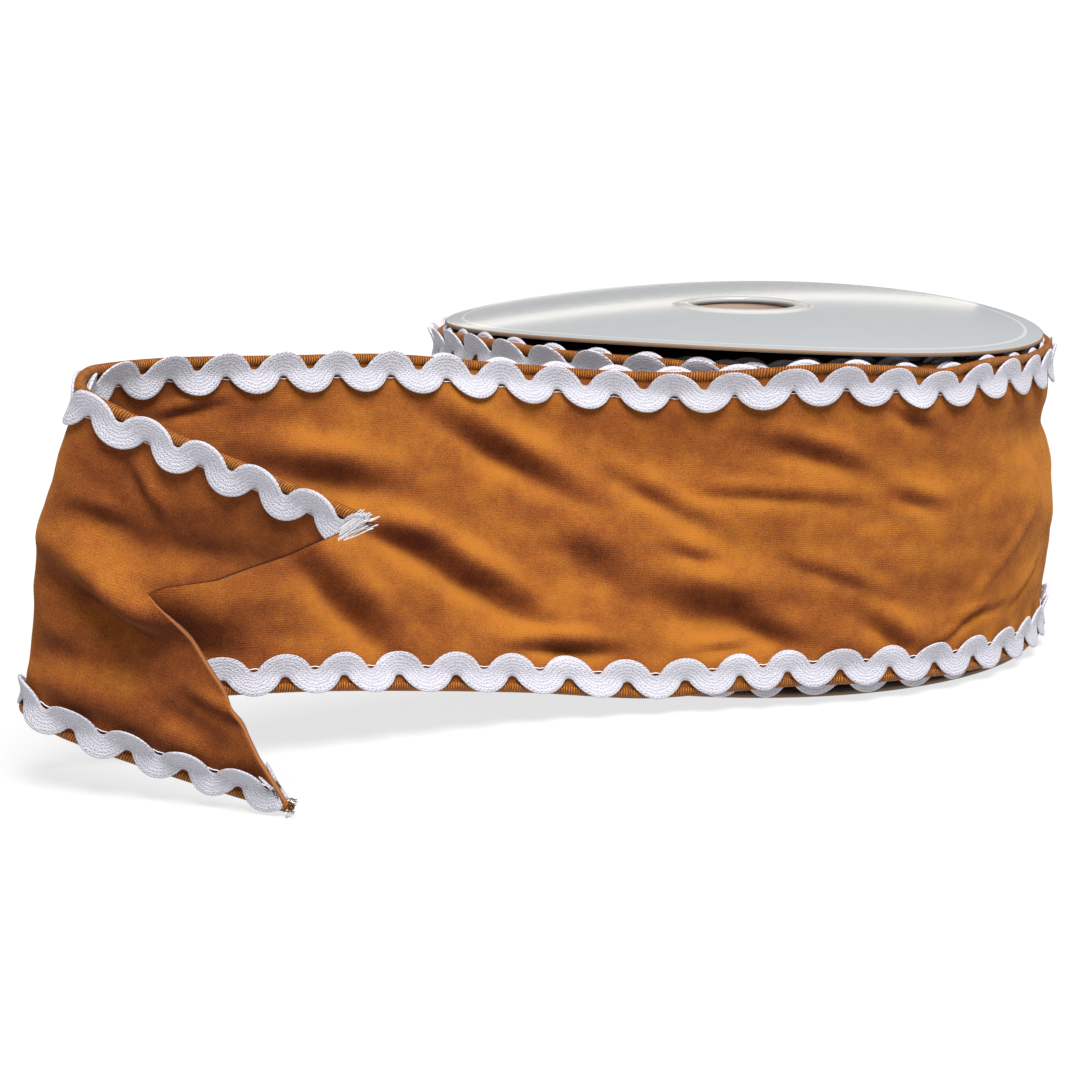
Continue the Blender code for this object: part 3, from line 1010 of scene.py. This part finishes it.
def ripple(tree, value, pitch):
    """Sine wave from 0 to 1 with a pitch in the measures' own unit."""
    turns = calculate(tree, "MULTIPLY", value, 2.0 * math.pi / pitch)
    return calculate(tree, "MULTIPLY_ADD", calculate(tree, "SINE", turns), 0.5, 0.5)


def relief(tree, height, depth, shader):
    """Bump of a depth in millimetres from a height of 0 to 1."""
    node = tree.nodes.new("ShaderNodeBump")
    node.inputs["Strength"].default_value = 1.0
    node.inputs["Distance"].default_value = depth * MM
    tree.links.new(height, node.inputs["Height"])
    tree.links.new(node.outputs["Normal"], shader.inputs["Normal"])


def facing_up(tree):
    """How far a face looks up, from -1 to 1."""
    node = tree.nodes.new("ShaderNodeNewGeometry")
    split = tree.nodes.new("ShaderNodeSeparateXYZ")
    tree.links.new(node.outputs["Normal"], split.inputs["Vector"])
    return split.outputs["Z"]


def suede_material():
    """Brushed cloth with painted light and shade: its colour is lighter where a fold faces up and
    darker where it faces down.
    """
    material, tree, shader = new_material("suede", (0.21, 0.056, 0.01), 0.9)
    place, along, across = measures(tree)
    weave = calculate(tree, "ADD", ripple(tree, along, WEAVE_ALONG),
                      ripple(tree, across, WEAVE_ACROSS))
    # Painted light and shade: lighter where the cloth faces up, darker where it faces down, and
    # shifted along the ribbon by the painted drift
    painted_light_and_tone = calculate(tree, "MULTIPLY_ADD", facing_up(tree), 0.75, ramp(tree, along, *PAINTED_LIGHT_DRIFT))
    height = calculate(tree, "MULTIPLY", weave, 0.15)
    for scale, detail, share in SUEDE_PATCHES:
        patches = grain(tree, place, scale, detail, 0.68)
        lighter = ramp(tree, patches, 0.3, 0.7, -0.5, 0.5)
        painted_light_and_tone = calculate(tree, "MULTIPLY_ADD", lighter, share, painted_light_and_tone)
        if scale > 1.0:
            height = calculate(tree, "MULTIPLY_ADD", patches, 0.7, height)
    painted_light_and_tone = calculate(tree, "MULTIPLY_ADD", weave, 0.015, painted_light_and_tone)
    colours = tree.nodes.new("ShaderNodeValToRGB")
    colours.color_ramp.elements[0].color = (*SUEDE_DARK, 1.0)
    colours.color_ramp.elements[1].color = (*SUEDE_LIGHT, 1.0)
    middle = colours.color_ramp.elements.new(0.5)
    middle.color = (*SUEDE_MIDDLE, 1.0)
    tree.links.new(calculate(tree, "ADD", painted_light_and_tone, 0.5), colours.inputs["Fac"])
    tree.links.new(colours.outputs["Color"], shader.inputs["Base Color"])
    relief(tree, height, WEAVE_RELIEF, shader)
    shader.inputs["Sheen Weight"].default_value = 0.18
    shader.inputs["Sheen Roughness"].default_value = 0.5
    shader.inputs["Sheen Tint"].default_value = (*SUEDE_SHEEN, 1.0)
    shader.inputs["Specular IOR Level"].default_value = 0.05
    return material


def cut_edge_material():
    return new_material("cut_edge", CUT_EDGE, 0.9)[0]


def bead_material():
    """Satin stitches side by side over the wired edge, a little slanted, with painted shade
    between them and a painted highlight on each.
    """
    material, tree, shader = new_material("satin_stitch", (0.24, 0.075, 0.015), 0.5)
    place, along, around = measures(tree)
    slant = calculate(tree, "MULTIPLY_ADD", around, 0.16, along)
    wander = calculate(tree, "MULTIPLY_ADD", grain(tree, place, 1.2), 0.35, slant)
    threads = ripple(tree, wander, SATIN_PITCH)
    worn = ramp(tree, grain(tree, place, 0.7), 0.3, 0.6, 0.5)
    # Painted shade between the stitches and a painted highlight on each, darker in random patches
    colour = blend(tree, calculate(tree, "MULTIPLY", threads, worn), SATIN_PAINTED_SHADE, SATIN_PAINTED_HIGHLIGHT)
    shader.inputs["Specular IOR Level"].default_value = 0.25
    tree.links.new(colour, shader.inputs["Base Color"])
    relief(tree, threads, SATIN_RELIEF, shader)
    return material


def braid_material():
    """Plaited yarns that run along the braid in rows, with painted shade in the grooves between
    them.
    """
    material, tree, shader = new_material("braid", (0.47, 0.46, 0.50), 0.8)
    place, along, across = measures(tree)
    wander = calculate(tree, "MULTIPLY_ADD", grain(tree, place, 1.1), 0.8, across)
    turns = calculate(tree, "MULTIPLY", wander, math.pi / PLAIT_PITCH)
    ridges = calculate(tree, "ABSOLUTE", calculate(tree, "SINE", turns))
    zigzag = calculate(tree, "PINGPONG", wander, PLAIT_PITCH)
    yarns = ripple(tree, calculate(tree, "ADD", zigzag, along), PLAIT_YARN)
    fuzz = grain(tree, place, 2.2, 3.0, 0.75)
    height = calculate(tree, "MULTIPLY", ridges, 0.28)
    height = calculate(tree, "MULTIPLY_ADD", yarns, 0.26, height)
    height = calculate(tree, "MULTIPLY_ADD", fuzz, 0.8, height)
    # Darker in the grooves between yarns and ridges: painted shade, mixed with random fuzz
    colour = blend(tree, ramp(tree, height, 0.35, 0.95), BRAID_FUZZ_AND_GROOVE_SHADE, BRAID_LIGHT)
    tree.links.new(colour, shader.inputs["Base Color"])
    relief(tree, height, PLAIT_RELIEF, shader)
    shader.inputs["Specular IOR Level"].default_value = 0.2
    return material


def yarn_material():
    return new_material("yarn", YARN_WHITE, 0.9)[0]


def card_material():
    """Printed card, cut at its rim: its UVs hold the radius, which starts over below."""
    material, tree, shader = new_material("card", CARD_GREY, 0.1)
    place, radius, around = measures(tree)
    line = calculate(tree, "COMPARE", radius, RING_LINE_RADIUS, RING_LINE_HALF_WIDTH)
    colour = blend(tree, line, CARD_GREY, RING_LINE)
    ring = calculate(tree, "LESS_THAN", radius, HUB_RING_RADIUS + 0.3)
    colour = blend(tree, ring, colour, HUB_RING)
    below = calculate(tree, "GREATER_THAN", radius, UNDERSIDE)
    colour = blend(tree, below, colour, CARD_UNDERSIDE)
    edge = calculate(tree, "COMPARE", radius, FLANGE_RADIUS, 0.16)
    colour = blend(tree, edge, colour, CARD_EDGE)
    tree.links.new(colour, shader.inputs["Base Color"])
    tree.links.new(calculate(tree, "MULTIPLY_ADD", edge, 0.6, 0.1), shader.inputs["Roughness"])
    return material


def kraft_material():
    return new_material("kraft", KRAFT_BROWN, 0.8)[0]


# Stage

def build_floor():
    mesh = bpy.data.meshes.new("floor")
    corners = ((-1, -1), (1, -1), (1, 1), (-1, 1))
    mesh.from_pydata([(FLOOR_REACH * x, FLOOR_REACH * y, 0.0) for x, y in corners], [],
                     [(0, 1, 2, 3)])
    material, tree, shader = new_material("floor_white", (FLOOR_GREY,) * 3, 0.9)
    shader.inputs["Specular IOR Level"].default_value = 0.0
    shader.inputs["Emission Color"].default_value = (1.0, 1.0, 1.0, 1.0)
    shader.inputs["Emission Strength"].default_value = FLOOR_GLOW
    mesh.materials.append(material)
    floor = bpy.data.objects.new("floor", mesh)
    bpy.context.scene.collection.objects.link(floor)


def build_light():
    world = bpy.data.worlds.new("studio")
    bpy.context.scene.world = world
    world.use_nodes = True
    sky = world.node_tree.nodes["Background"]
    sky.inputs["Color"].default_value = (1.0, 1.0, 1.0, 1.0)
    sky.inputs["Strength"].default_value = SKY_STRENGTH
    lamp = bpy.data.lights.new("key", "SUN")
    lamp.energy = SUN_ENERGY
    lamp.angle = SUN_ANGLE
    key = bpy.data.objects.new("key", lamp)
    key.rotation_mode = "QUATERNION"
    key.rotation_quaternion = Vector(SUN_TOWARD).to_track_quat("-Z", "Y")
    bpy.context.scene.collection.objects.link(key)
    for name, width, height, energy, x, z in REFLECTED_PANELS:
        panel = bpy.data.lights.new(name, "AREA")
        panel.shape = "RECTANGLE"
        panel.size = width
        panel.size_y = height
        panel.energy = energy
        panel.color = PANEL_COLOUR
        lamp = bpy.data.objects.new(name, panel)
        lamp.location = (x, PANEL_Y, z)
        lamp.rotation_euler = (PANEL_PITCH, 0.0, 0.0)
        bpy.context.scene.collection.objects.link(lamp)


def build_camera():
    lens = bpy.data.cameras.new("camera")
    lens.lens = CAMERA_LENS
    lens.sensor_width = 36.0
    lens.sensor_fit = "HORIZONTAL"
    lens.clip_start = 0.01
    lens.clip_end = 100.0
    camera = bpy.data.objects.new("camera", lens)
    camera.location = Vector(CAMERA_PLACE) * MM
    camera.rotation_euler = (0.5 * math.pi - CAMERA_PITCH, 0.0, 0.0)
    bpy.context.scene.collection.objects.link(camera)
    bpy.context.scene.camera = camera


def build_tail(suede, stitch, white, yarn):
    """The loose end: its cloth, beads, four braids, sewing threads and frayed tips."""
    tail = RibbonField(-TAIL_LEAD, TAIL_LENGTH, ALONG_STEP, ACROSS_STEPS)
    cloth = build_cloth("tail_suede", tail, 0.0, TAIL_LENGTH, suede, True)
    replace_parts(cloth, "tail_cloth")
    for edge, upper in (("top", True), ("bottom", False)):
        build_bead("tail_bead_" + edge, tail, 0.0, TAIL_LENGTH, upper, stitch)
    for face, outer in (("outer", True), ("inner", False)):
        for edge, upper in (("top", True), ("bottom", False)):
            place = face + "_" + edge
            braid = build_braid("braid_" + place, tail, BRAID_START, TAIL_LENGTH, place,
                                upper, outer, white)
            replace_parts(braid, "ricrac_" + face + "_" + edge)
            stitches = stitch_path(tail, BRAID_START, TAIL_LENGTH, place, upper, outer)
            build_threads("stitch_" + place, [stitches], STITCH_RADIUS,
                                        yarn)
    noise.seed_set(FRAY_SEED)
    for name, bundles, radius, material, slot in (
        ("yarn_fray", YARN_FRAYS, YARN_RADIUS, yarn, "white_braid"),
        ("fibre_fray", FIBRE_FRAYS, FIBRE_RADIUS, stitch, "suede_cloth"),
    ):
        paths = [path for bundle in bundles for path in frayed_end(tail, bundle)]
        build_threads(name, paths, radius, material)


def build_wrap(suede, stitch, white):
    """The roll: its outer turn, the edges of the turns below, and their braid."""
    wrap = RibbonField(TAIL_LENGTH, RIBBON_LENGTH, WRAP_GRID_STEP, WRAP_GRID_ROWS)
    turn = build_cloth("wrap_suede", wrap, TAIL_LENGTH, RIBBON_LENGTH, suede, False)
    body = build_roll_body(stitch)
    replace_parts(body, "ribbon_roll")
    start = TAIL_LENGTH - BRAID_OVERLAP
    stop = RIBBON_LENGTH - BRAID_END
    for edge, upper in (("top", True), ("bottom", False)):
        build_bead("wrap_bead_" + edge, wrap, TAIL_LENGTH, RIBBON_LENGTH,
                                      upper, stitch)
        build_braid("wrap_braid_" + edge, wrap, start, stop,
                                       "wrap_" + edge, upper, True, white)
    build_braid("wrap_braid_inner_top", wrap, start, stop,
                                   "wrap_inner_top", True, False, white)
    for n, radius in enumerate(INNER_TURN_RADII):
        end = INNER_TURN_START + 2.0 * math.pi * radius
        build_braid("turn_braid_" + str(n + 1), InnerTurn(radius),
                                       INNER_TURN_START, end, "inner_turn", True, True, white)


def build_spool():
    card = card_material()
    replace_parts(build_flange_top(card), "flange_top")
    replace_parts(build_flange_bottom(card), "flange_bottom")
    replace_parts(build_core(kraft_material()), "core_tube")


def build_object():
    suede = suede_material()
    stitch = bead_material()
    white = braid_material()
    build_tail(suede, stitch, white, yarn_material())
    build_wrap(suede, stitch, white)
    build_spool()


build_object()
build_floor()
build_light()
build_camera()
bpy.context.scene.view_settings.view_transform = "Standard"
